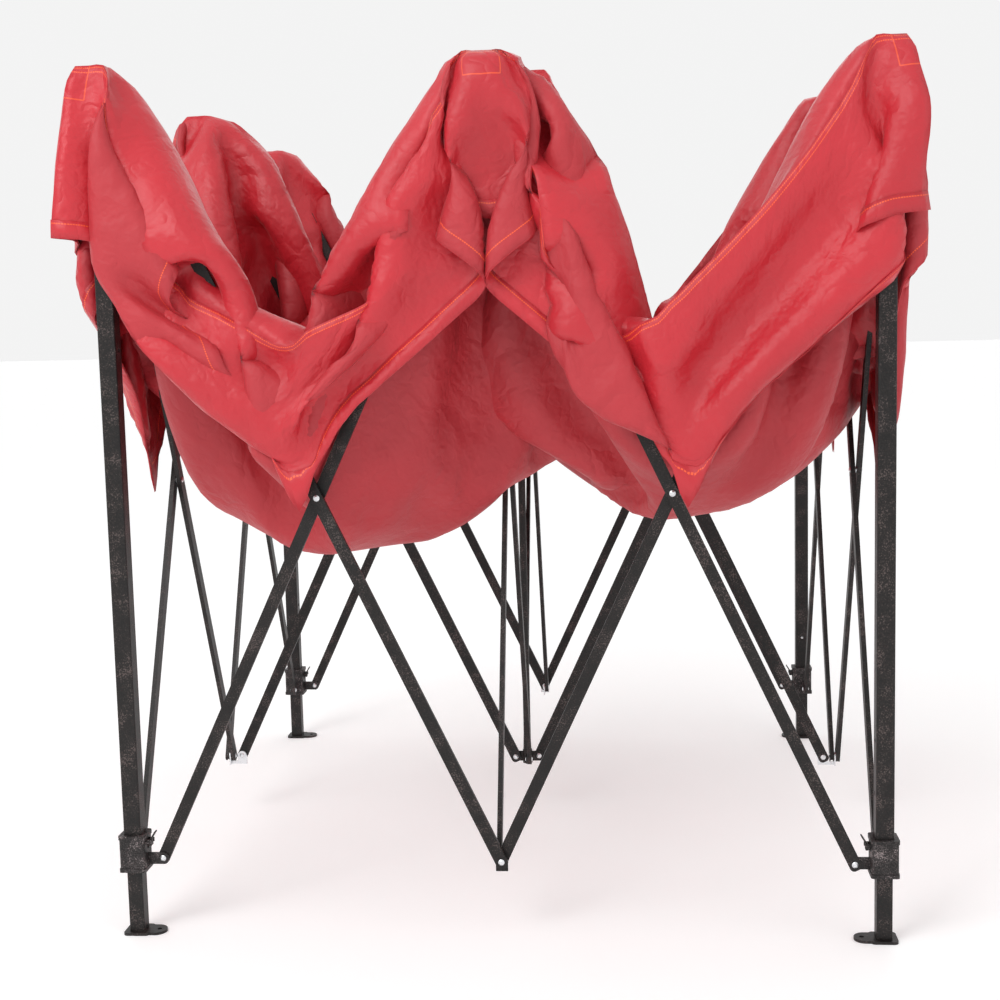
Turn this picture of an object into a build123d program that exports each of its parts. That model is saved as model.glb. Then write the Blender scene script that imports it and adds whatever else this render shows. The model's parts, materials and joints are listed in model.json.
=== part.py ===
from build123d import *
import math
import os

os.makedirs("parts", exist_ok=True)

# ---- driving sizes, mm, +Z up, floor at z = 0, frame stored half open ----
leg_spacing = 1352.0  # between leg axes at the stored opening
pivot_rise = 1325.0  # height from a lower pivot to the upper pivot above it
pivot_low = 140.0  # height of the lower pivots above the floor
leg_out = 32.0  # outer leg tube, square
leg_wall = 1.6
leg_top = 1548.0  # top of the outer leg tube
inner_slack = 0.4  # inner leg in outer leg, each side
inner_wall = 1.4
inner_length = 1290.0
slide_slack = 0.5  # collar on outer leg, each side
collar_out = 50.0
collar_below = 20.0  # collar bottom below its pivot
collar_above = 48.0
bracket_height = 66.0
lug_thick = 3.0
arm_offset = 51.0  # leg axis to the pivots it carries
hub_offset = arm_offset / 2  # truss plane to arm pivot, and centre axis to arm pivot
bar_wide = 22.0
bar_thick = 9.0
bar_wall = 1.2
bar_corner = 8.0
layer_gap = 0.15  # lug to bar, each side
rivet_r = 4.0
rivet_slack = 0.15
head_r = 5.6
head_high = 2.0
head_gap = 0.1
foot_size = 48.0
foot_thick = 5.0
foot_tab = 28.0  # how far the pegging tab reaches past the plate
peg_hole_r = 4.5
pole_r = 8.0
pole_slack = 0.3
guide_r = 10.5
pole_rise = 150.0  # top of the centre pole above the upper pivots
crown_r = 30.0
crown_high = 8.0
button_r = 3.8
button_hole_r = 4.4
height_holes = (267.0, 362.0)  # snap-button holes in the outer leg
catch_hole = pivot_low + pivot_rise - 395.0  # where the collar catch drops in when open
hub_post = 76.0  # post of a side upper hub above its pivot
web_gap = 1.8  # past the swing of the bar ends
web_deep = 6.7
cover_drop = 2.0  # thickness of the cloth sheet that stands in for the cover
cover_over = 30.0  # the cover's edge outside the truss plane
cover_in = 20.0  # how far it runs level over a truss before it sags
bag_sag = 930.0  # lowest point of a roof quarter below the tops
valance = 290.0

# ---- derived ----
half = leg_spacing / 2
span = half - arm_offset
bar_length = math.hypot(span, pivot_rise)
angle = math.degrees(math.atan2(pivot_rise, span))
pivot_high = pivot_low + pivot_rise
crossing = pivot_low + pivot_rise / 2
layer = lug_thick / 2 + layer_gap + bar_thick / 2
layer_face = layer + bar_thick / 2
leg_bore = leg_out - 2 * leg_wall
inner_out = leg_bore - 2 * inner_slack
hole_r = rivet_r + rivet_slack
sides = ("front", "right", "rear", "left")
corners = ("front_left", "front_right", "rear_right", "rear_left")


def save(name, *solids):
    shape = solids[0] if len(solids) == 1 else Compound(children=list(solids))
    export_step(shape, f"parts/{name}.step")


def turned(shape, k):
    """The same piece on side or corner k, a quarter turn each."""
    return shape.rotate(Axis.Z, 90 * k)


def box(x0, x1, y0, y1, z0, z1):
    return Pos((x0 + x1) / 2, (y0 + y1) / 2, (z0 + z1) / 2) * Box(x1 - x0, y1 - y0, z1 - z0)


def across_y(r, x, z, y0, y1):
    """A round pin or hole along Y."""
    return Pos(x, (y0 + y1) / 2, z) * Rot(90, 0, 0) * Cylinder(r, y1 - y0)


def across_x(r, y, z, x0, x1):
    """A round pin or hole along X."""
    return Pos((x0 + x1) / 2, y, z) * Rot(0, 90, 0) * Cylinder(r, x1 - x0)


def square_tube(size, wall, z0, z1, corner):
    ring = RectangleRounded(size, size, corner)
    hollow = RectangleRounded(size - 2 * wall, size - 2 * wall, max(corner - wall, 0.5))
    return Pos(0, 0, z0) * extrude(ring - hollow, z1 - z0)


# ---- bars: flat-sided tubes with a hole at each end and one at the crossing ----
def bar():
    """A bar lying along X, its first pivot at the origin, thickness along Y."""
    outline = Pos(bar_length / 2, 0) * RectangleRounded(bar_length + bar_wide, bar_wide, bar_corner)
    body = Rot(90, 0, 0) * extrude(outline, bar_thick / 2, both=True)
    inside = bar_wide - 2 * bar_wall
    body -= box(-bar_wide, bar_length + bar_wide, bar_wall - bar_thick / 2,
                bar_thick / 2 - bar_wall, -inside / 2, inside / 2)
    for x in (0, bar_length / 2, bar_length):
        body -= across_y(hole_r, x, 0, -bar_thick, bar_thick)
    return body


def rivet(x, z, y0, y1):
    """A rivet along Y that holds what lies between y0 and y1."""
    a, b = y0 - head_gap, y1 + head_gap
    shape = across_y(rivet_r, x, z, a, b)
    for y, way in ((a, -1), (b, 1)):
        head = Pos(x, y, z) * Rot(-90 * way, 0, 0) * Cone(head_r, head_r * 0.55, head_high)
        shape += head.moved(Location((0, way * head_high / 2, 0)))
    return shape


def spacer(x, z):
    """The washer between two crossing bars, fixed on the rivet of the crossing."""
    return across_y(head_r + 1, x, z, -lug_thick / 2, lug_thick / 2)


def side_bar(which):
    """One bar of the front truss at the front, in the truss frame (X, Z)."""
    start = {"a": (-span, pivot_high, -angle, -1), "b": (-span, pivot_low, angle, 1),
             "c": (span, pivot_low, 180 - angle, -1), "d": (span, pivot_high, 180 + angle, 1)}
    x, z, tilt, side = start[which]
    return Pos(x, side * layer, z) * Rot(0, -tilt, 0) * bar()


def truss_bar(which):
    """A truss bar with the rivets that stay with it."""
    solids = [side_bar(which)]
    x = -span if which in "ab" else span
    if which == "a":
        solids.append(rivet(x, pivot_high, -layer_face, lug_thick / 2))
        solids.append(rivet(0, pivot_low, -layer_face, layer_face))
        cross = rivet(-span / 2, crossing, -layer_face, layer_face) + spacer(-span / 2, crossing)
        solids.append(cross)
    if which == "b":
        solids.append(rivet(x, pivot_low, -lug_thick / 2, layer_face))
    if which == "c":
        solids.append(rivet(x, pivot_low, -layer_face, lug_thick / 2))
        solids.append(rivet(0, pivot_high, -layer_face, layer_face))
        cross = rivet(span / 2, crossing, -layer_face, layer_face) + spacer(span / 2, crossing)
        solids.append(cross)
    if which == "d":
        solids.append(rivet(x, pivot_high, -lug_thick / 2, layer_face))
    return [s.moved(Location((0, -half, 0))) for s in solids]


def arm_bar(which):
    """A bar of the front arm, from the front hubs to the centre hubs, in its place."""
    near, far = hub_offset, half - hub_offset
    mid = (near + far) / 2
    if which == "high":
        # starts at the side upper hub and ends at the centre lower hub
        place = Pos(near, -layer, pivot_high) * Rot(0, angle, 0)
        pins = [rivet(near, pivot_high, -layer_face, lug_thick / 2),
                rivet(far, pivot_low, -layer_face, lug_thick / 2),
                rivet(mid, crossing, -layer_face, layer_face) + spacer(mid, crossing)]
    else:
        place = Pos(near, layer, pivot_low) * Rot(0, -angle, 0)
        pins = [rivet(near, pivot_low, -lug_thick / 2, layer_face),
                rivet(far, pivot_high, -lug_thick / 2, layer_face)]
    turn = Location((0, -half, 0)) * Location((0, 0, 0), (0, 0, 90))
    return [s.moved(turn) for s in [place * bar()] + pins]


for k, side in enumerate(sides):
    for which in "abcd":
        save(f"bar_{side}_{which}", *[turned(s, k) for s in truss_bar(which)])
    for which in ("high", "low"):
        save(f"arm_{side}_{which}", *[turned(s, k) for s in arm_bar(which)])


# ---- lugs: flat plates that the bars pivot on, between the two bar layers ----
def lug(reach, root, z):
    """A plate in the XZ plane from x = root to a pivot at x = reach."""
    r = bar_wide / 2
    plate = box(root, reach, -lug_thick / 2, lug_thick / 2, z - r, z + r)
    plate += across_y(r, reach, z, -lug_thick / 2, lug_thick / 2)
    return plate


def two_lugs(z):
    """The lugs of a corner piece, along +X and +Y, with their holes."""
    one = lug(arm_offset, leg_out / 2 + 4, z)
    pair = one + one.rotate(Axis.Z, 90)
    holes = across_y(hole_r, arm_offset, z, -leg_out, leg_out)
    return pair, [holes, holes.rotate(Axis.Z, 90)]


def sleeve(z0, z1, opening):
    """A moulded square sleeve with a lip top and bottom."""
    body = Pos(0, 0, z0) * extrude(RectangleRounded(collar_out - 3, collar_out - 3, 5), z1 - z0)
    for z in (z0, z1 - 7):
        body += Pos(0, 0, z) * extrude(RectangleRounded(collar_out, collar_out, 6), 7)
    body -= box(-opening / 2, opening / 2, -opening / 2, opening / 2, z0 - 1, z1 + 1)
    return body


# the catch lever sits on the +X face of a collar, above the lug
catch_z = pivot_low + 33.0
catch_hinge = (collar_out / 2 + 5.0, catch_z)
catch_pin_r = 3.0
catch_tip = leg_out / 2 + slide_slack * 0.6


def collar(turn):
    """A sliding collar, its catch on the +X face or, turned, on the +Y face."""
    body = sleeve(pivot_low - collar_below, pivot_low + collar_above, leg_out + 2 * slide_slack)
    lugs, holes = two_lugs(pivot_low)
    body += lugs
    for h in holes:
        body -= h
    for y in (-7.5, 7.5):
        ear = box(collar_out / 2 - 3, catch_hinge[0] + 3.5, y - 1.5, y + 1.5, catch_z - 3.5, catch_z + 4)
        body += ear.rotate(Axis.Z, turn)
    body -= across_y(1.5, *catch_hinge, -9.1, 9.1).rotate(Axis.Z, turn)
    # the pocket that the catch pin works through
    pocket = box(leg_out / 2 - 1, collar_out / 2 + 1, -4.6, 4.6, catch_z - 14.5, catch_z - 0.5)
    return body - pocket.rotate(Axis.Z, turn)


def catch_lever():
    """A thumb lever with a catch pin below its hinge and a tab that slants up and out."""
    x, z = catch_hinge
    body = box(x - 2.2, x + 2.2, -5.6, 5.6, z - 8, z + 4)
    body += box(catch_tip, x, -catch_pin_r, catch_pin_r, z - 8, z - 3)
    tab = Pos(x, 0, z + 3) * Rot(0, 32, 0) * Pos(0, 0, 9) * Box(2.6, 11.2, 18)
    body += tab
    hinge = across_y(1.6, x, z, -6, 6)
    body -= hinge
    pin = across_y(1.4, x, z, -9.6, 9.6)
    return body, pin


def top_bracket():
    z0, z1 = pivot_high - 22, pivot_high - 22 + bracket_height
    body = sleeve(z0, z1, leg_out + 0.2)
    lugs, holes = two_lugs(pivot_high)
    body += lugs
    for h in holes:
        body -= h
    cap = Pos(0, 0, leg_top + 0.2) * extrude(RectangleRounded(leg_out + 5, leg_out + 5, 4), 4)
    fit = leg_bore / 2 - 0.9
    plug = box(-fit, fit, -fit, fit, leg_top - 18, leg_top + 0.2)
    return body, cap + plug


def outer_leg(turn):
    tube = square_tube(leg_out, leg_wall, pivot_low - 10, leg_top, 3)
    for z in height_holes:
        tube -= across_y(button_hole_r, 0, z, leg_bore / 2 - 1, leg_out)
    return tube - across_x(4.2, 0, catch_hole, leg_bore / 2 - 1, leg_out).rotate(Axis.Z, turn)


def inner_leg():
    tube = square_tube(inner_out, inner_wall, foot_thick, foot_thick + inner_length, 2)
    tube -= across_y(button_hole_r - 0.3, 0, height_holes[0], inner_out / 2 - inner_wall - 1, leg_out)
    plate = extrude(RectangleRounded(foot_size, foot_size, 8), foot_thick)
    tab_x = foot_size / 2 + foot_tab
    nose = foot_size / 2 - 4
    tab = box(0, tab_x - nose, -nose, nose, 0, foot_thick)
    tab += Pos(tab_x - nose, 0, foot_thick / 2) * Cylinder(nose, foot_thick)
    return tube, plate + tab - Pos(tab_x - 14, 0, foot_thick / 2) * Cylinder(peg_hole_r, 3 * foot_thick)


def snap_button():
    """A dome button and its spring leaf inside the inner leg."""
    z = height_holes[0]
    tip = leg_bore / 2 - 0.15
    stem = across_y(button_r, 0, z, inner_out / 2 - inner_wall - 5, tip - 1.2)
    dome = Pos(0, tip - 0.6, z) * Rot(-90, 0, 0) * Cone(button_r, button_r - 1.2, 1.2)
    leaf = box(-4, 4, inner_out / 2 - inner_wall - 5.8, inner_out / 2 - inner_wall - 5, z - 5, z + 40)
    return stem + dome + leaf


def at_corner(shape, k):
    """A corner piece drawn round the leg axis, put at corner k."""
    return shape.moved(Location((-half, -half, 0))).rotate(Axis.Z, 90 * k)


lever, lever_pin = catch_lever()
bracket, cap = top_bracket()
inner_tube, foot = inner_leg()
button = snap_button()
for k, corner in enumerate(corners):
    # catches and pegging tabs face along X at every corner, so every other one is turned
    turn = 90 * (k % 2)
    foot_k, lever_k, pin_k = (p.rotate(Axis.Z, turn) for p in (foot, lever, lever_pin))
    save(f"leg_outer_{corner}", at_corner(outer_leg(turn), k))
    save(f"leg_inner_{corner}", at_corner(inner_tube, k), at_corner(foot_k, k))
    save(f"top_bracket_{corner}", at_corner(bracket, k), at_corner(cap, k))
    save(f"collar_{corner}", at_corner(collar(turn), k), at_corner(pin_k, k))
    save(f"catch_lever_{corner}", at_corner(lever_k, k))
    save(f"snap_button_{corner}", at_corner(button, k))


# ---- side hubs: a plate in the truss plane and one square to it for the arm ----
def side_hub(high):
    z = pivot_high if high else pivot_low
    way = 1 if high else -1
    r = bar_wide / 2
    t = lug_thick / 2
    web0, web1 = z + way * (r + web_gap), z + way * (r + web_gap + web_deep)
    end = z + way * (hub_post if high else r + web_gap + web_deep)
    lo, hi = sorted((z, end))
    plate = box(-r, r, -t, t, lo, hi) + across_y(r, 0, z, -t, t)
    lo, hi = sorted((web0, web1))
    reach = hub_offset + r
    web = box(-t, t, -t, reach, lo, hi)
    lo, hi = sorted((z, web1))
    web += box(-t, t, hub_offset - r + 1, reach, lo, hi)
    web += across_x(r - 1, hub_offset, z, -t, t)
    body = plate + web
    if high:
        body += box(-r - 8, r + 8, -9, 9, end, end + 5)
    body -= across_y(hole_r, 0, z, -5, 5)
    body -= across_x(hole_r, hub_offset, z, -5, 5)
    return body.moved(Location((0, -half, 0)))


def centre_hub(high):
    z = pivot_high if high else pivot_low
    r = bar_wide / 2
    t = lug_thick / 2
    body = Pos(0, 0, z) * Cylinder(guide_r, 2 * r + 8)
    for k in range(4):
        arm = box(0, hub_offset, -t, t, z - r, z + r) + across_y(r, hub_offset, z, -t, t)
        body += arm.rotate(Axis.Z, 90 * k)
    for k in range(4):
        body -= across_y(hole_r, hub_offset, z, -5, 5).rotate(Axis.Z, 90 * k)
    bore = pole_r + pole_slack if high else pole_r
    depth = 60 if high else 2 * r + 4
    return body - Pos(0, 0, z + (0 if high else 2)) * Cylinder(bore, depth)


for k, side in enumerate(sides):
    save(f"hub_upper_{side}", turned(side_hub(True), k))
    save(f"hub_lower_{side}", turned(side_hub(False), k))
save("centre_hub_upper", centre_hub(True))
save("centre_hub_lower", centre_hub(False))
pole_bottom = pivot_low - bar_wide / 2
pole_top = pivot_high + pole_rise
pole = Pos(0, 0, (pole_bottom + pole_top) / 2) * (
    Cylinder(pole_r - 0.02, pole_top - pole_bottom) - Cylinder(pole_r - 1.5, pole_top - pole_bottom))
crown = Pos(0, 0, pole_top + crown_high / 2) * Cylinder(crown_r, crown_high)
save("centre_pole", pole + crown)


# ---- cover: a thin folded sheet, four sagging quarters and four valances ----
sheet = 3 * cover_drop  # the sheet measured upright, where it is steep
corner_top = leg_top + 4.4 + sheet + 1
side_top = pivot_high + hub_post + 5 + sheet + 1
peak_top = pole_top + crown_high + sheet + 8
edge_low = crossing + bar_wide / 2 / math.cos(math.radians(angle)) + 34
bag_low = corner_top - bag_sag
knee = 24.0  # from the level part over a top to where the sheet runs down the bars
flat_corner, flat_side, flat_peak = leg_out / 2 + 8, 23.0, crown_r + 3


def edge_line(top0, flat0, top1, flat1, low_at):
    """Distance along a span and height: down from one top, up to the next."""
    return [(0, top0), (flat0, top0), (flat0 + knee, top0 - 20), (low_at, edge_low),
            (half - flat1 - knee, top1 - 20), (half - flat1, top1), (half, top1)]


front_line = edge_line(corner_top, flat_corner, side_top, flat_side, half - span / 2)
arm_line = edge_line(side_top, flat_side, peak_top, flat_peak, half / 2)


def quarter():
    """The front-left quarter as one closed sheet."""
    front, inner, gap = front_line, arm_line, 0.4

    def ring(out, into):
        # front edge from the corner, then the front arm to the centre, and back round
        way = [(-half + d if d else -half - out, -half - out, z) for d, z in front[:-1]]
        way.append((-into, -half - out, front[-1][1]))
        way += [(-into, -half + d, z) for d, z in inner[1:-1]]
        way.append((-into, -into, inner[-1][1]))
        back = [(y, x, z) for x, y, z in way[1:-1]]
        return way + back[::-1]

    outer, level = ring(cover_over, gap), ring(-cover_in, cover_in)
    low = (-half / 2, -half / 2, bag_low)

    def drop(p):
        return (p[0], p[1], p[2] - sheet)

    faces = []

    def tri(a, b, c):
        faces.append(Face(Wire.make_polygon([a, b, c], close=True)))

    n = len(outer)
    for i in range(n):
        j = (i + 1) % n
        a, b, c, d = outer[i], outer[j], level[j], level[i]
        for lift in (lambda p: p, drop):
            tri(lift(a), lift(b), lift(c))
            tri(lift(a), lift(c), lift(d))
            tri(lift(d), lift(c), lift(low))
        tri(a, b, drop(b))
        tri(a, drop(b), drop(a))
    return Solid(Shell(faces))


def valance_panel():
    """The front valance: a V-shaped flap outside each half of the truss."""
    left = [(-half + d, z) for d, z in front_line]
    right = [(-x, z) for x, z in left[::-1]]
    panels = []
    for run in (left, right):
        under = [(x, z - valance * (0.25 if z == edge_low else 1)) for x, z in run]
        outline = Polygon(*run, *under[::-1], align=None)
        panels.append(Rot(90, 0, 0) * extrude(outline, cover_drop))
    return [p.moved(Location((0, -half - cover_over - 1, 0))) for p in panels]


cloth = [quarter().rotate(Axis.Z, 90 * k) for k in range(4)]
for k in range(4):
    cloth += [turned(p, k) for p in valance_panel()]
save("canopy_cover", *cloth)
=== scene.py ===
import math
import json

import bpy
import bmesh
import numpy as np
from mathutils import Matrix, Vector

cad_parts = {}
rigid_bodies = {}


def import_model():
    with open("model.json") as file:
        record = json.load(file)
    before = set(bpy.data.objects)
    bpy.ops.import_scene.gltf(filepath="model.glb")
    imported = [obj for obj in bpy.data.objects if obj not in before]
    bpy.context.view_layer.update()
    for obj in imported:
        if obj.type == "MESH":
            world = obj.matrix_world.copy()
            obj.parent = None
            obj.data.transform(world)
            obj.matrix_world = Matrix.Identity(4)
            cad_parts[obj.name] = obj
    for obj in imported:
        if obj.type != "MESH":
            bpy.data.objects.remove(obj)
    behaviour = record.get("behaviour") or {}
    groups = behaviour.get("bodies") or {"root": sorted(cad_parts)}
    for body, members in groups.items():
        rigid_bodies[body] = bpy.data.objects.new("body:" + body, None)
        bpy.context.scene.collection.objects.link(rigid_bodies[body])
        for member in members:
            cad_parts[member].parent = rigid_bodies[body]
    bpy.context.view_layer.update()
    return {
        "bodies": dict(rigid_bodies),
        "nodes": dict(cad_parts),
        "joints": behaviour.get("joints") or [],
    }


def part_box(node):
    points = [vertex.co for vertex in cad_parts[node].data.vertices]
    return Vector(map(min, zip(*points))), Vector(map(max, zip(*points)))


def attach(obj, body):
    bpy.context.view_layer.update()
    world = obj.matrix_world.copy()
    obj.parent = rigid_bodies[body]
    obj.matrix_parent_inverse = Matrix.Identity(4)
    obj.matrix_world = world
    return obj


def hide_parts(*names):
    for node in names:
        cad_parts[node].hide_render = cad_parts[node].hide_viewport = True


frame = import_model()
nodes = frame["nodes"]
scene = bpy.context.scene
print("stage: frame loaded,", len(nodes), "nodes")

# the frame's own measures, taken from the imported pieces
jointAt = {j["name"]: Vector(j["pos_m"]) for j in frame["joints"] if j.get("pos_m")}
half = abs(jointAt["frame_fold"].y)
armOut = half - abs(jointAt["frame_fold"].x)
pivotHigh = jointAt["frame_fold"].z
pivotLow = jointAt["hub_lower_front_turn"].z
rise = pivotHigh - pivotLow
barLength = math.hypot(half - armOut, rise)
openAngle = math.atan2(rise, half - armOut) - math.radians(
    next(j for j in frame["joints"] if j["name"] == "frame_fold")["range_deg"][1])
openLift = rise - barLength * math.sin(openAngle)
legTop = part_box("top_bracket_front_left")[1].z
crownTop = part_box("centre_pole")[1].z


def newMaterial(name):
    mat = bpy.data.materials.new(name)
    mat.use_nodes = True
    tree = mat.node_tree
    tree.nodes.clear()
    out = tree.nodes.new("ShaderNodeOutputMaterial")
    skin = tree.nodes.new("ShaderNodeBsdfPrincipled")
    tree.links.new(skin.outputs[0], out.inputs["Surface"])
    return mat, tree, skin, out


def add(tree, kind, links=None, **values):
    node = tree.nodes.new(kind)
    for key, value in values.items():
        if hasattr(node, key):
            setattr(node, key, value)
        else:
            node.inputs[key.replace("_", " ")].default_value = value
    for socket, source in (links or {}).items():
        tree.links.new(source, node.inputs[socket])
    return node


def calc(tree, how, a, b=None):
    node = tree.nodes.new("ShaderNodeMath")
    node.operation = how
    for i, v in enumerate((a, b)):
        if v is None:
            continue
        if isinstance(v, (int, float)):
            node.inputs[i].default_value = v
        else:
            tree.links.new(v, node.inputs[i])
    return node.outputs[0]


def ramp(tree, source, stops):
    node = tree.nodes.new("ShaderNodeValToRGB")
    tree.links.new(source, node.inputs[0])
    while len(node.color_ramp.elements) < len(stops):
        node.color_ramp.elements.new(0.5)
    for e, (at, colour) in zip(node.color_ramp.elements, stops):
        e.position = at
        e.color = (*colour, 1)
    return node.outputs["Color"]


def objectCoords(tree):
    return tree.nodes.new("ShaderNodeTexCoord").outputs["Object"]


coat = dict(dark=(0.0035, 0.0028, 0.0027), light=(0.015, 0.0112, 0.0105), grain=430.0, blotch=26.0,
            rough=0.47, bump=0.00035)


def paintCoat(tree, skin, look):
    # dark hammered powder coat with a fine speckle
    where = objectCoords(tree)
    grain = add(tree, "ShaderNodeTexNoise", {"Vector": where}, Scale=look["grain"], Detail=3.0, Roughness=0.6)
    blotch = add(tree, "ShaderNodeTexNoise", {"Vector": where}, Scale=look["blotch"], Detail=4.0)
    cells = add(tree, "ShaderNodeTexVoronoi", {"Vector": where}, Scale=look["grain"] * 0.45)
    speck = calc(tree, "MULTIPLY", grain.outputs["Fac"], calc(tree, "ADD", blotch.outputs["Fac"], 0.35))
    colour = ramp(tree, speck, [(0.30, look["dark"]), (0.50, look["light"]),
                                (0.60, tuple(6.0 * c for c in look["light"]))])
    tree.links.new(colour, skin.inputs["Base Color"])
    rough = calc(tree, "MULTIPLY_ADD", blotch.outputs["Fac"], 0.22)
    rough.node.inputs[2].default_value = look["rough"] - 0.11
    tree.links.new(rough, skin.inputs["Roughness"])
    height = calc(tree, "ADD", cells.outputs["Distance"], calc(tree, "MULTIPLY", grain.outputs["Fac"], 0.6))
    bump = add(tree, "ShaderNodeBump", {"Height": height}, Strength=0.55, Distance=look["bump"])
    tree.links.new(bump.outputs[0], skin.inputs["Normal"])
    skin.inputs["Metallic"].default_value = 0.0
    skin.inputs["Specular IOR Level"].default_value = 0.36


zinc = dict(bright=(0.78, 0.79, 0.81), dull=(0.52, 0.53, 0.56), rough=0.28)


def paintZinc(tree, skin, look):
    where = objectCoords(tree)
    spangle = add(tree, "ShaderNodeTexVoronoi", {"Vector": where}, Scale=320.0)
    haze = add(tree, "ShaderNodeTexNoise", {"Vector": where}, Scale=60.0, Detail=5.0)
    mixed = calc(tree, "MULTIPLY_ADD", spangle.outputs["Distance"], 0.7)
    tree.links.new(haze.outputs["Fac"], mixed.node.inputs[2])
    shine = ramp(tree, mixed, [(0.35, look["dull"]), (0.75, look["bright"])])
    tree.links.new(shine, skin.inputs["Base Color"])
    skin.inputs["Metallic"].default_value = 1.0
    rough = calc(tree, "MULTIPLY_ADD", haze.outputs["Fac"], 0.2)
    rough.node.inputs[2].default_value = look["rough"]
    tree.links.new(rough, skin.inputs["Roughness"])
    bump = add(tree, "ShaderNodeBump", {"Height": haze.outputs["Fac"]}, Strength=0.25, Distance=0.0004)
    tree.links.new(bump.outputs[0], skin.inputs["Normal"])


def coatMaterial(name, look):
    mat, tree, skin, _ = newMaterial(name)
    paintCoat(tree, skin, look)
    return mat


def zincMaterial(name, look):
    mat, tree, skin, _ = newMaterial(name)
    paintZinc(tree, skin, look)
    return mat


def barMaterial(name, axis, low, high):
    # coated bar whose rivets, which stand outside its own thickness, are zinc
    mat, tree, skin, out = newMaterial(name)
    paintCoat(tree, skin, coat)
    pin = tree.nodes.new("ShaderNodeBsdfPrincipled")
    paintZinc(tree, pin, zinc)
    split = add(tree, "ShaderNodeSeparateXYZ", {"Vector": objectCoords(tree)})
    across = split.outputs["XYZ".index(axis)]
    past = calc(tree, "ADD", calc(tree, "LESS_THAN", across, low), calc(tree, "GREATER_THAN", across, high))
    mix = tree.nodes.new("ShaderNodeMixShader")
    tree.links.new(past, mix.inputs[0])
    tree.links.new(skin.outputs[0], mix.inputs[1])
    tree.links.new(pin.outputs[0], mix.inputs[2])
    tree.links.new(mix.outputs[0], out.inputs["Surface"])
    return mat


layerNear, layerFar = 0.00162, 0.01068  # a bar's two faces, measured from its truss plane


def dressFrame():
    plain = coatMaterial("hammeredCoat", coat)
    moulding = coatMaterial("mouldedSleeve", dict(coat, light=(0.042, 0.035, 0.035), rough=0.52, blotch=40.0))
    lever = coatMaterial("leverBlack", dict(coat, rough=0.36, bump=0.00012))
    bright = zincMaterial("zincPlate", zinc)
    made = {}
    for name, ob in nodes.items():
        if name.startswith(("bar_", "arm_")):
            kind, side, which = name.split("_")
            if kind == "bar":
                axis = "Y" if side in ("front", "rear") else "X"
                plane = {"front": -half, "rear": half, "left": -half, "right": half}[side]
                outer = which in "ac"
                outward = -1 if side in ("front", "left") else 1
            else:
                axis = "X" if side in ("front", "rear") else "Y"
                plane, outer = 0.0, which == "high"
                outward = 1 if side in ("front", "right") else -1
            way = outward if outer else -outward
            ends = sorted((plane + way * layerNear, plane + way * layerFar))
            key = (axis, round(ends[0], 4))
            if key not in made:
                made[key] = barMaterial(f"barCoat{len(made)}", axis, *ends)
            mat = made[key]
        elif name in ("hub_lower_left", "hub_lower_right", "hub_lower_rear") or name.startswith("snap"):
            mat = bright
        elif name.startswith(("collar", "top_bracket")):
            mat = moulding
        elif name.startswith("catch"):
            mat = lever
        else:
            mat = plain
        for slot in ob.material_slots:
            slot.material = mat
        if not ob.material_slots:
            ob.data.materials.append(mat)


cover = dict(half=1.48, peak=0.95, skirt=0.30, out=0.026, topGap=0.006, notch=0.87, wall=0.744,
             barGap=0.0145, postGap=0.024, headGap=0.034, step=0.012, keep=0.975, fastest=1.2,
             slant=0.15, bend=0.05, skirtSlant=0.004,
             cells=48, coarse=400, fine=110, seed=4, tied=0.782, patch=0.05, patchCut=0.0425,
             strapIn=0.013, strapOut=0.012, ridge=(3, 0.325, 0.985))
cover["top"] = legTop + cover["topGap"]
cover["peakTop"] = crownTop + cover["topGap"]


barMiddle = 0.0062  # from a truss plane to the middle of a bar
gravity = 9.81


def barLines():
    # both ends of every bar of the trusses and arms
    s = half - armOut
    rows = []
    for u0, z0, z1 in ((-s, pivotHigh, pivotLow), (-s, pivotLow, pivotHigh),
                       (s, pivotHigh, pivotLow), (s, pivotLow, pivotHigh)):
        off = -barMiddle if (z0 > z1) == (u0 < 0) else barMiddle
        rows.append(((u0, -half + off, z0), (0, -half + off, z1)))
    a, b = -half + armOut / 2, -armOut / 2
    rows.append(((barMiddle, a, pivotHigh), (barMiddle, b, pivotLow)))
    rows.append(((-barMiddle, a, pivotLow), (-barMiddle, b, pivotHigh)))
    lines = []
    for c, n in ((1, 0), (0, 1), (-1, 0), (0, -1)):
        for line in rows:
            lines.append([(c * x - n * y, n * x + c * y, z) for x, y, z in line])
    return np.array(lines)


def postLines():
    lines = [((x, y, 0.2), (x, y, legTop - 0.02)) for x in (-half, half) for y in (-half, half)]
    for x, y in ((0, -half), (half, 0), (0, half), (-half, 0)):
        lines.append(((x, y, pivotHigh), (x, y, legTop - 0.024)))
    return np.array(lines)


def cutCover(n):
    # the cut: a low pyramid roof and a straight skirt sewn round it
    h = cover["half"]
    rows = 5 * n // cover["cells"]
    across = np.linspace(-h, h, n + 1)
    gx, gy = np.meshgrid(across, across, indexing="ij")
    gz = cover["peak"] * (1 - np.maximum(abs(gx), abs(gy)) / h)
    ids = np.arange((n + 1) ** 2).reshape(n + 1, n + 1)
    cut = np.stack([gx, gy, gz], -1).reshape(-1, 3)
    loop = np.concatenate([ids[:-1, 0], ids[-1, :-1], ids[:0:-1, -1], ids[0, :0:-1]])
    ring = [loop]
    for r in range(1, rows + 1):
        row = cut[loop].copy()
        row[:, 2] = -r * cover["skirt"] / rows
        ring.append(np.arange(len(cut), len(cut) + len(loop)))
        cut = np.concatenate([cut, row])
    return cut, ids, np.array(ring)


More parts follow.
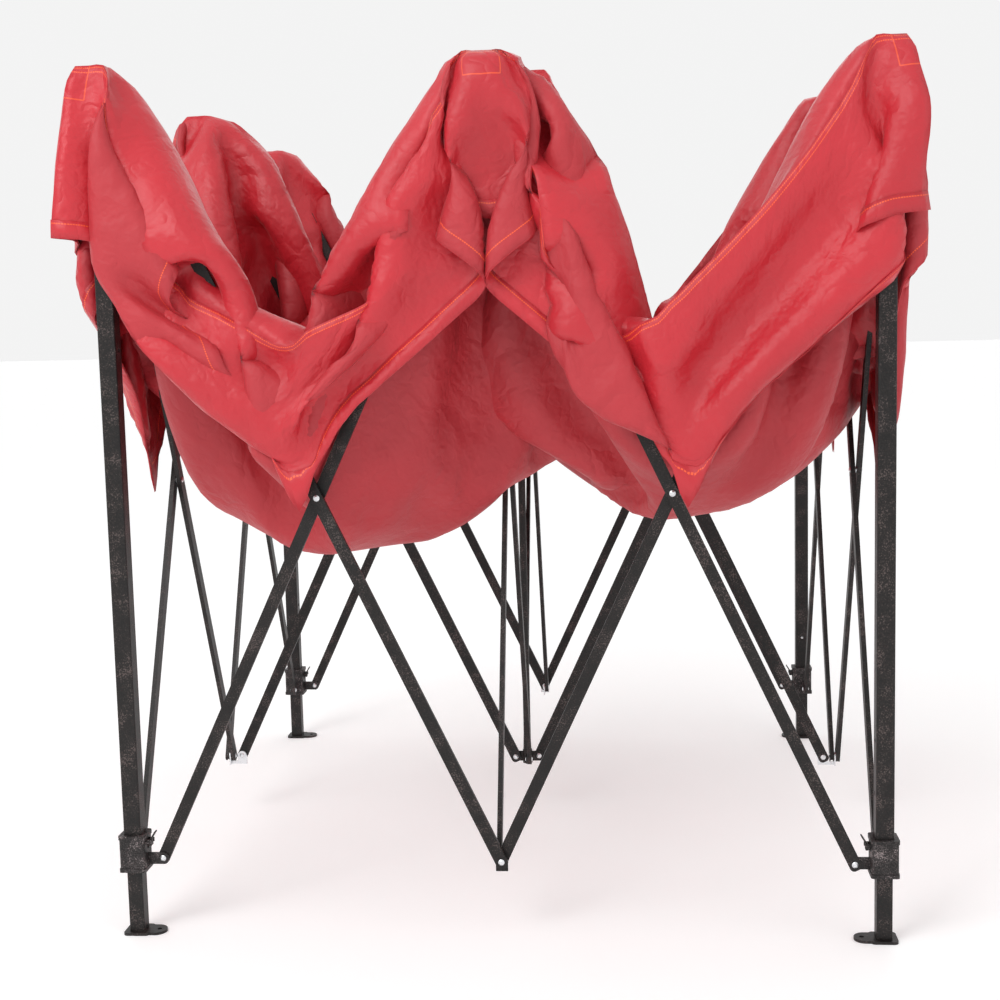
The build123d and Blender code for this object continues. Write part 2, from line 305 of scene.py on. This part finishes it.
def threads(ids, ring):
    # pairs along the weave, across it, and two steps apart for stiffness
    r1, r2 = np.roll(ring, -1, axis=1), np.roll(ring, -2, axis=1)
    weave = [(ids[:-1], ids[1:]), (ids[:, :-1], ids[:, 1:]), (ring[1:], r1[1:]), (ring[:-1], ring[1:])]
    slant = [(ids[:-1, :-1], ids[1:, 1:]), (ids[1:, :-1], ids[:-1, 1:]),
             (ring[:-1], r1[1:]), (r1[:-1], ring[1:])]
    bend = [(ids[:-2], ids[2:]), (ids[:, :-2], ids[:, 2:]), (ring[1:], r2[1:]), (ring[:-2], ring[2:])]
    return [np.concatenate([np.stack([a.ravel(), b.ravel()], -1) for a, b in group])
            for group in (weave, slant, bend)]


def threadSets(cut, ids, ring, pulls):
    # sorts the pairs into sets that share no point, so each set moves at once
    sets = []
    for pairs, pull in zip(threads(ids, ring), pulls):
        used = [0] * len(cut)
        colour = []
        for a, b in pairs.tolist():
            free = ~(used[a] | used[b])
            bit = free & -free
            used[a] |= bit
            used[b] |= bit
            colour.append(bit.bit_length())
        colour = np.array(colour)
        for c in range(1, colour.max() + 1):
            a, b = pairs[colour == c].T.copy()
            ease = np.where(np.maximum(a, b) < ids.size, pull[0], pull[1])
            sets.append((a, b, np.linalg.norm(cut[a] - cut[b], axis=1), ease))
    return sets


def pullTogether(p, free, sets):
    for a, b, rest, pull in sets:
        d = p[b] - p[a]
        size = np.sqrt((d * d).sum(1)) + 1e-12
        wa, wb = free[a], free[b]
        d *= (pull * (size - rest) / (size * np.maximum(wa + wb, 1e-9)))[:, None]
        p[a] += d * wa[:, None]
        p[b] -= d * wb[:, None]


def pushOff(p, free, lines, gap):
    for a, b in lines:
        boxed = (p > np.minimum(a, b) - gap) & (p < np.maximum(a, b) + gap)
        near = np.flatnonzero(boxed.all(1) & (free > 0))
        if len(near):
            d = b - a
            q = p[near] - a
            away = q - np.clip(q @ d / (d @ d), 0, 1)[:, None] * d
            size = np.sqrt((away * away).sum(1)) + 1e-9
            hit = size < gap
            p[near[hit]] += away[hit] * ((gap - size[hit]) / size[hit])[:, None]


def restOnBars(p, free, size, cut):
    # roof cloth lies on the V that the upper halves of two crossed bars make
    edge = cover["half"] - np.abs(cut[:size, :2])
    middle = np.abs(cut[:size, :2])
    slope = rise / (half - armOut)
    for axis in (0, 1):
        along = np.abs(p[:size, axis])
        low = (pivotHigh + pivotLow) / 2 + np.abs(along - half / 2) * slope + cover["barGap"] * 1.6
        z = p[:size, 2]
        under = (z < low) & (z > low - 0.06) & (along < half - 0.02) & (free[:size] > 0)
        for plane, way in ((-half, 1), (half, -1), (0, 0)):
            n = (p[:size, 1 - axis] - plane) * (way or 1)
            near = under & (n < 0.036) & (n > (-0.036 if way == 0 else -0.021))
            near &= edge[:, 1 - axis] < 0.26 if way else middle[:, 1 - axis] < 0.2
            p[:size, 2][near] = low[near]


def firstSag(cut, ring):
    # a rough start: a V along every truss and arm, deeper in the quarters
    h = cover["half"]
    s = np.abs(cut[:, :2]) / h
    v = np.clip((1 - np.abs(1 - 2 * s)) * 1.06, 0, 1) * (cover["top"] - cover["notch"])
    p = cut.copy()
    p[:, :2] *= (half + cover["out"]) / h
    p[:, 2] = cover["top"] - np.sqrt((v ** 2).sum(1))
    p[:, 2] += (cover["peakTop"] - cover["top"]) * np.clip(1 - 2 * s.max(1), 0, 1)
    # the skirt hangs straight, drawn up where it is caught at a crossing
    along = 1 - np.abs(1 - 2 * s[ring[0]].min(1))
    low = p[ring[0], 2].min()
    drawn = 1 - (1 - (low - cover["tied"]) / cover["skirt"]) * along ** 2
    for r in range(1, len(ring)):
        p[ring[r]] = p[ring[0]]
        p[ring[r], :2] *= 1 + 0.004 * r
        p[ring[r], 2] += cut[ring[r], 2] * drawn
    return p


def letDown(p, n, cut, ids, ring, steps, loops, step, noise):
    sets = threadSets(cut, ids, ring, ((1.0, 1.0), (cover["slant"], cover["skirtSlant"]),
                                       (cover["bend"], cover["bend"])))
    m, h = n // 2, half + cover["out"]
    free = np.ones(len(p))
    held = {(0, 0): (-h, -h), (n, 0): (h, -h), (n, n): (h, h), (0, n): (-h, h), (m, 0): (0, -h),
            (n, m): (h, 0), (m, n): (0, h), (0, m): (-h, 0), (m, m): (0, 0)}
    for (i, j), (x, y) in held.items():
        p[ids[i, j]] = (x, y, cover["peakTop"] if i == j == m else cover["top"])
        free[ids[i, j]] = 0
    pins = [ids[k] for k in held]
    # the flat tops carry a patch of cloth, not a point
    inner = h - cover["patch"]
    for i, j in np.ndindex(n + 1, n + 1):
        u, v = cut[ids[i, j], :2] / cover["half"]
        near = [w for w in (-1, 0, 1) if abs(u - w) < cover["patchCut"]], [w for w in (-1, 0, 1) if
                                                                            abs(v - w) < cover["patchCut"]]
        if near[0] and near[1] and free[ids[i, j]]:
            a, b = near[0][0], near[1][0]
            if a == b == 0:
                p[ids[i, j]] = (u * 0.8, v * 0.8, cover["peakTop"])
            else:
                x = a * (h - (1 - abs(u)) / cover["patchCut"] * (h - inner)) if a else u * 0.8
                y = b * (h - (1 - abs(v)) / cover["patchCut"] * (h - inner)) if b else v * 0.8
                p[ids[i, j]] = (x, y, cover["top"])
            free[ids[i, j]] = 0
    reach = [np.linalg.norm(cut - cut[k], axis=1) * 1.004 + 1e-6 for k in pins]
    # the hem is caught at every crossing, and one point of the roof is held above it, where the
    # cover's outline turns; no part of the frame stands there, so this is a shaping aid
    rows, spot, height = cover["ridge"]
    rows = rows * n // cover["cells"]
    for side in range(4):
        for way in (-1, 1):
            c, r = m + way * n // 4, rows
            i, j = ((c, r), (n - r, c), (n - c, n - r), (r, n - c))[side]
            q, out = way * (h / 2 - cover["strapIn"]), h + cover["strapOut"]
            x, y = ((q, -out), (out, q), (-q, out), (-out, -q))[side]
            hem = ring[-1, (side * n + c) % (4 * n)]
            p[hem] = (x, y, cover["tied"])
            q = way * spot
            x, y = ((q, -h), (h, q), (-q, h), (-h, -q))[side]
            p[ids[i, j]] = (x, y, height)
            free[[hem, ids[i, j]]] = 0
    flaps = [(ring[1:, :n + 1], 1, -1), (ring[1:, n:2 * n + 1], 0, 1), (ring[1:, 2 * n:3 * n + 1], 1, 1),
             (np.concatenate([ring[1:, 3 * n:], ring[1:, :1]], 1), 0, -1)]
    lines, posts = barLines(), postLines()
    heads = np.array([((x, y, 1.455), (x, y, 1.5)) for x in (-half, half) for y in (-half, half)])
    p = p + np.random.default_rng(cover["seed"]).normal(0, noise, p.shape) * free[:, None]
    speed = np.zeros_like(p)
    for _ in range(steps):
        speed *= cover["keep"]
        speed[:, 2] -= gravity * step
        old = p.copy()
        p = p + speed * step * free[:, None]
        for _ in range(loops):
            pullTogether(p, free, sets)
            pushOff(p, free, lines, cover["barGap"])
            restOnBars(p, free, ids.size, cut)
            pushOff(p, free, posts, cover["postGap"])
            pushOff(p, free, heads, cover["headGap"])
            for part, axis, way in flaps:
                part = part.ravel()
                short = part[p[part, axis] * way < h]
                p[short, axis] = way * h
            p[:, :2] = np.clip(p[:, :2], -cover["wall"], cover["wall"])
        for k, far in zip(pins, reach):
            d = p - p[k]
            size = np.sqrt((d * d).sum(1))
            long = (size > far) & (free > 0)
            p[long] = p[k] + d[long] * (far[long] / size[long])[:, None]
        speed = (p - old) / step
        size = np.linalg.norm(speed, axis=1)
        speed *= np.minimum(1, cover["fastest"] / (size + 1e-9))[:, None]
    a, b, rest, _ = sets[0]
    print("stage: cover let down,", n, "cells, still moving", round(float(size.mean()), 4),
          "stretch", round(float((np.linalg.norm(p[a] - p[b], axis=1) / rest).mean()), 3))
    return p


def halve(a, axis, closed):
    # puts a smooth midpoint between neighbours along one axis of a grid
    a = np.moveaxis(a, axis, 0)
    if closed:
        mid = (9 * (a + np.roll(a, -1, 0)) - np.roll(a, 1, 0) - np.roll(a, -2, 0)) / 16
    else:
        e = np.concatenate([2 * a[:1] - a[1:2], a, 2 * a[-1:] - a[-2:-1]])
        mid = (9 * (e[1:-2] + e[2:-1]) - e[:-3] - e[3:]) / 16
    out = np.empty((len(a) + len(mid),) + a.shape[1:])
    out[0::2], out[1::2] = a, mid
    return np.moveaxis(out, 0, axis)


def finer(p, n, ids, ring):
    roof = halve(halve(p[ids], 0, False), 1, False)
    skirt = halve(halve(p[ring], 1, True), 0, False)
    cut, ids, ring = cutCover(2 * n)
    q = np.zeros((len(cut), 3))
    q[ring] = skirt
    q[ids] = roof
    return q, 2 * n, cut, ids, ring


def drapeCover():
    n = cover["cells"]
    cut, ids, ring = cutCover(n)
    p = firstSag(cut, ring)
    p = letDown(p, n, cut, ids, ring, cover["coarse"], 6, cover["step"], 0.004)
    p, n, cut, ids, ring = finer(p, n, ids, ring)
    p = letDown(p, n, cut, ids, ring, cover["fine"], 9, cover["step"] * 0.45, 0.0006)
    p, n, cut, ids, ring = finer(p, n, ids, ring)
    return p, n, cut, ids, ring


def gridNormals(points, closed):
    # outward direction at every point of a cloth grid
    along = np.gradient(points, axis=0)
    if closed:
        along[0] = along[-1] = points[1] - points[-2]
    down = np.gradient(points, axis=1)
    n = np.cross(down, along)
    return n / (np.linalg.norm(n, axis=-1, keepdims=True) + 1e-12)


def gridMesh(name, points, flat, closed=False, flip=False):
    # a cloth piece from a grid of points, with the cut kept as its UV map
    nx, ny = points.shape[0] - 1, points.shape[1] - 1
    bm = bmesh.new()
    bmesh.ops.create_grid(bm, x_segments=nx, y_segments=ny, size=1)
    uv = bm.loops.layers.uv.new("cut")
    place = bm.verts.layers.float_vector.new("place")
    where = {v: (round((v.co.x + 1) / 2 * nx), round((v.co.y + 1) / 2 * ny)) for v in bm.verts}
    for face in bm.faces:
        face.smooth = True
        for corner in face.loops:
            corner[uv].uv = flat[where[corner.vert]]
    for v, (i, j) in where.items():
        v.co = points[i, j]
        v[place] = (i / nx, j / ny, 0)
    if closed:
        bmesh.ops.remove_doubles(bm, verts=[v for v, (i, j) in where.items() if i in (0, nx)], dist=1e-6)
    if flip:
        bmesh.ops.reverse_faces(bm, faces=bm.faces)
    mesh = bpy.data.meshes.new(name)
    bm.to_mesh(mesh)
    bm.free()
    ob = bpy.data.objects.new(name, mesh)
    scene.collection.objects.link(ob)
    return ob


def readPlaces(ob):
    # each point's place in its grid, from 0 to 1, and its height now
    size = len(ob.data.vertices)
    spot, co = np.zeros(size * 3), np.zeros(size * 3)
    ob.data.attributes["place"].data.foreach_get("vector", spot)
    ob.data.vertices.foreach_get("co", co)
    return spot[0::3], spot[1::3], co[2::3]


def topWeights(s, t):
    # how far each of the nine held points carries a place on the roof, s and t from 0 to 1
    def share(v):
        v = v * 2
        return np.stack([np.clip(1 - v, 0, 1), 1 - np.abs(v - 1), np.clip(v - 1, 0, 1)], -1)
    a, b = share(s), share(t)
    return a[..., :, None] * b[..., None, :]


carriers = [["mast_front_left", "hub_upper_left", "mast_rear_left"],
            ["hub_upper_front", None, "hub_upper_rear"],
            ["mast_front_right", "hub_upper_right", "mast_rear_right"]]


def followFrame(ob, s, t, lift):
    # the cloth spreads with the tops that hold it and rises with the centre pole
    share = topWeights(s, t)
    pulls = [(carriers[i][j], share[:, i, j]) for i in range(3) for j in range(3) if carriers[i][j]]
    lift = np.clip(lift, 0, 2)
    pulls += [("centre_low", np.minimum(lift, 1)), ("centre_low", np.maximum(lift - 1, 0))]
    for k, (body, weight) in enumerate(pulls):
        group = ob.vertex_groups.new(name=f"{body}{k}")
        for v in np.flatnonzero(weight > 1e-4):
            group.add([int(v)], float(weight[v]), "REPLACE")
        hook = ob.modifiers.new(f"{body}{k}", "HOOK")
        hook.object = frame["bodies"][body]
        hook.vertex_group = group.name
        hook.matrix_inverse = Matrix.Identity(4)
        hook.strength = 1.0
        hook.falloff_type = "NONE"
    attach(ob, "centre_top")


cloth = dict(stitch=0.0011, perMetre=230.0, patchStitch=0.0012, patchHalf=0.032, patchDrop=0.06,
             top=(0.54, 0.020, 0.032), under=(0.46, 0.026, 0.036), thread=(0.85, 0.10, 0.03),
             weave=1500.0, thick=0.0012)


def patchStitches(tree, split):
    # two upright rows and a cross row round the stitched patch at each corner and middle
    half = cover["half"]
    patch, drop, thread = cloth["patchHalf"], cloth["patchDrop"], cloth["patchStitch"]
    turn = calc(tree, "ADD", calc(tree, "DIVIDE", split.outputs[0], half), 0.5)
    swing = calc(tree, "SUBTRACT", calc(tree, "FRACT", turn), 0.5)
    away = calc(tree, "MULTIPLY", calc(tree, "ABSOLUTE", swing), half)
    upright = calc(tree, "LESS_THAN", calc(tree, "ABSOLUTE", calc(tree, "SUBTRACT", away, patch)), thread)
    above = calc(tree, "GREATER_THAN", split.outputs[1], -drop)
    fromRow = calc(tree, "ABSOLUTE", calc(tree, "ADD", split.outputs[1], drop))
    across = calc(tree, "LESS_THAN", fromRow, thread)
    inside = calc(tree, "LESS_THAN", away, patch)
    sides = calc(tree, "MULTIPLY", upright, above)
    return calc(tree, "MAXIMUM", sides, calc(tree, "MULTIPLY", across, inside))


def clothMaterial(name, base, sheen, rough, seams):
    # woven polyester: fine weave, packing creases, and rows of stitching beside the seams
    mat, tree, skin, _ = newMaterial(name)
    uv = add(tree, "ShaderNodeUVMap", uv_map="cut").outputs[0]
    warp = add(tree, "ShaderNodeTexWave", {"Vector": uv}, Scale=cloth["weave"] / 6.28, Distortion=0.0)
    weft = add(tree, "ShaderNodeTexWave", {"Vector": uv}, Scale=cloth["weave"] / 6.28, bands_direction="Y")
    weave = calc(tree, "ADD", warp.outputs["Fac"], weft.outputs["Fac"])
    soft = add(tree, "ShaderNodeTexNoise", {"Vector": uv}, Scale=3.2, Detail=5.0, Roughness=0.55)
    bent = add(tree, "ShaderNodeVectorMath", {0: uv, 1: soft.outputs["Color"]}, operation="MULTIPLY_ADD")
    bent.inputs[1].default_value = (0.35, 0.35, 0.35)
    tree.links.new(soft.outputs["Color"], bent.inputs[0])
    tree.links.new(uv, bent.inputs[2])
    folds = {"Vector": bent.outputs[0]}
    crush = add(tree, "ShaderNodeTexVoronoi", folds, feature="DISTANCE_TO_EDGE", Scale=5.5)
    small = add(tree, "ShaderNodeTexVoronoi", folds, feature="DISTANCE_TO_EDGE", Scale=15.0)
    fine = add(tree, "ShaderNodeTexNoise", {"Vector": uv}, Scale=30.0, Detail=6.0, Roughness=0.6)
    worn, fresh = tuple(0.86 * c for c in base), tuple(1.1 * c for c in base)
    tone = ramp(tree, soft.outputs["Fac"], [(0.3, worn), (0.7, fresh)])
    split = add(tree, "ShaderNodeSeparateXYZ", {"Vector": uv})
    mask = None
    for offset in seams:
        # a stitch row at a fixed distance from the sewn edge, broken into short stitches
        gap = calc(tree, "ABSOLUTE", calc(tree, "SUBTRACT", split.outputs[1], offset))
        near = calc(tree, "LESS_THAN", gap, cloth["stitch"])
        stitch = calc(tree, "FRACT", calc(tree, "MULTIPLY", split.outputs[0], cloth["perMetre"]))
        run = calc(tree, "GREATER_THAN", stitch, 0.3)
        row = calc(tree, "MULTIPLY", near, run)
        mask = row if mask is None else calc(tree, "MAXIMUM", mask, row)
    if mask is not None:
        mask = calc(tree, "MAXIMUM", mask, calc(tree, "MULTIPLY", patchStitches(tree, split), 0.7))
        mix = tree.nodes.new("ShaderNodeMix")
        mix.data_type = "RGBA"
        tree.links.new(mask, mix.inputs["Factor"])
        tree.links.new(tone, mix.inputs["A"])
        mix.inputs["B"].default_value = (*cloth["thread"], 1)
        tone = mix.outputs["Result"]
    tree.links.new(tone, skin.inputs["Base Color"])
    creases = add(tree, "ShaderNodeBump", {"Height": crush.outputs["Distance"]}, Strength=0.5, Distance=0.016)
    wrinkles = add(tree, "ShaderNodeBump",
                   {"Height": small.outputs["Distance"], "Normal": creases.outputs[0]},
                   Strength=0.22, Distance=0.004)
    ripples = add(tree, "ShaderNodeBump", {"Height": fine.outputs["Fac"], "Normal": wrinkles.outputs[0]},
                  Strength=0.2, Distance=0.003)
    threadsUp = add(tree, "ShaderNodeBump", {"Height": weave, "Normal": ripples.outputs[0]},
                    Strength=0.25, Distance=0.0003)
    tree.links.new(threadsUp.outputs[0], skin.inputs["Normal"])
    uneven = calc(tree, "MULTIPLY_ADD", fine.outputs["Fac"], 0.16)
    uneven.node.inputs[2].default_value = rough - 0.08
    tree.links.new(uneven, skin.inputs["Roughness"])
    skin.inputs["Sheen Weight"].default_value = sheen
    skin.inputs["Sheen Roughness"].default_value = 0.35
    skin.inputs["Sheen Tint"].default_value = (1.0, 0.62, 0.62, 1)
    skin.inputs["Specular IOR Level"].default_value = 0.5
    return mat


def makeCover():
    p, n, cut, ids, ring = drapeCover()
    h = cover["half"]
    peakOpen = cover["peakTop"] + openLift
    rows = len(ring) - 1
    top = clothMaterial("coverRed", cloth["top"], 0.14, 0.40, ())
    under = clothMaterial("coverUnder", cloth["under"], 0.08, 0.55, ())
    skirtTop = clothMaterial("skirtRed", cloth["top"], 0.14, 0.40, (-0.004, -cover["skirt"] + 0.024, -0.012))
    skirtUnder = clothMaterial("skirtUnder", cloth["under"], 0.08, 0.55, (-cover["skirt"] + 0.024,))

    roof = gridMesh("coverRoof", p[ids], cut[ids][..., :2])
    s, t, z = readPlaces(roof)
    zOpen = cover["top"] + (peakOpen - cover["top"]) * (1 - np.maximum(abs(2 * s - 1), abs(2 * t - 1)))
    followFrame(roof, s, t, (zOpen - z) / openLift)

    count = ring.shape[1]
    wrap = np.concatenate([ring, ring[:, :1]], 1)
    distance = np.arange(count + 1) * (2 * h / n)
    depth = -np.arange(rows + 1)[None, :] * cover["skirt"] / rows
    flat = np.stack(np.broadcast_arrays(distance[:, None], depth), -1)
    hung = p[wrap].transpose(1, 0, 2)
    outward = gridNormals(hung, True)
    front = outward[: n // 2, 1:, 1].mean()
    outward *= -1 if front > 0 else 1
    skirt = gridMesh("coverSkirt", hung, flat, closed=True, flip=True)
    # every skirt point follows the seam point above it
    s, t, z = readPlaces(skirt)
    seam = (cut[wrap[0], :2] / (2 * h) + 0.5)[np.round(s * count).astype(int)]
    followFrame(skirt, seam[:, 0], seam[:, 1], (cover["top"] - t * cover["skirt"] - z) / openLift)

    # the hem: a folded band sewn round the lower edge, puckered by its stitching
    pucker = np.random.default_rng(7).normal(0, 0.0005, (count + 1, 1, 1)) + 0.0019
    pucker[-1] = pucker[0]
    hemPoints = hung[:, -3:] + outward[:, -3:] * pucker
    hemPoints[:, -1, 2] -= 0.0015
    hem = gridMesh("coverHem", hemPoints, flat[:, -3:], closed=True, flip=True)
    s, t, z = readPlaces(hem)
    seam = (cut[wrap[0], :2] / (2 * h) + 0.5)[np.round(s * count).astype(int)]
    down = (rows - 2 + 2 * t) * cover["skirt"] / rows
    followFrame(hem, seam[:, 0], seam[:, 1], (cover["top"] - down - z) / openLift)

    for ob, mats in ((roof, (top, under)), (skirt, (skirtTop, skirtUnder)), (hem, (skirtTop, skirtTop))):
        for mat in mats:
            ob.data.materials.append(mat)
        wall = ob.modifiers.new("clothThickness", "SOLIDIFY")
        wall.thickness = cloth["thick"]
        wall.offset = 0
        wall.material_offset = 1
    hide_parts("canopy_cover")
    print("stage: cover made", len(roof.data.polygons), len(skirt.data.polygons))
    return roof, skirt


def makeStage():
    bm = bmesh.new()
    bmesh.ops.create_grid(bm, x_segments=1, y_segments=1, size=60)
    mesh = bpy.data.meshes.new("floor")
    bm.to_mesh(mesh)
    bm.free()
    floor = bpy.data.objects.new("floor", mesh)
    scene.collection.objects.link(floor)
    mat, tree, skin, _ = newMaterial("paleFloor")
    skin.inputs["Base Color"].default_value = (0.93, 0.93, 0.93, 1)
    skin.inputs["Roughness"].default_value = 0.6
    skin.inputs["Specular IOR Level"].default_value = 0.2
    skin.inputs["Emission Color"].default_value = (1, 1, 1, 1)
    skin.inputs["Emission Strength"].default_value = 0.16
    mesh.materials.append(mat)


light = dict(world=0.9, key=84.0, fill=8.0, back=14.0)


def makeLight():
    world = bpy.data.worlds.new("studio")
    world.use_nodes = True
    world.node_tree.nodes["Background"].inputs[0].default_value = (1, 1, 1, 1)
    world.node_tree.nodes["Background"].inputs[1].default_value = light["world"]
    scene.world = world
    for name, power, size, spot in (("key", light["key"], 2.2, (-2.2, -3.4, 3.9)),
                                    ("fill", light["fill"], 3.0, (3.4, -2.6, 2.4)),
                                    ("back", light["back"], 2.5, (0.6, 3.6, 3.6))):
        data = bpy.data.lights.new(name, "AREA")
        data.energy = power
        data.size = size
        ob = bpy.data.objects.new(name, data)
        scene.collection.objects.link(ob)
        ob.location = spot
        ob.rotation_euler = (Vector((0, 0, 0.9)) - Vector(spot)).to_track_quat("-Z", "Y").to_euler()


view = dict(at=(0.2512, -3.3481, 1.1012), yaw=-0.0893, pitch=-0.1140, roll=-0.0236, focal=1539.9)


def makeCamera():
    data = bpy.data.cameras.new("camera")
    cam = bpy.data.objects.new("camera", data)
    scene.collection.objects.link(cam)
    yaw, pitch, roll = view["yaw"], view["pitch"], view["roll"]
    ahead = Vector((math.sin(yaw) * math.cos(pitch), math.cos(yaw) * math.cos(pitch), math.sin(pitch)))
    right = Vector((math.cos(yaw), -math.sin(yaw), 0))
    up = right.cross(ahead)
    r = right * math.cos(roll) + up * math.sin(roll)
    u = -right * math.sin(roll) + up * math.cos(roll)
    turn = Matrix((r, u, -ahead)).transposed().to_4x4()
    turn.translation = Vector(view["at"])
    cam.matrix_world = turn
    data.sensor_width = 36.0
    data.lens = view["focal"] * 36.0 / 1000.0
    data.clip_start = 0.05
    scene.camera = cam


dressFrame()
makeCover()
makeStage()
makeLight()
makeCamera()
scene.view_settings.view_transform = "Standard"
print("stage: scene made")
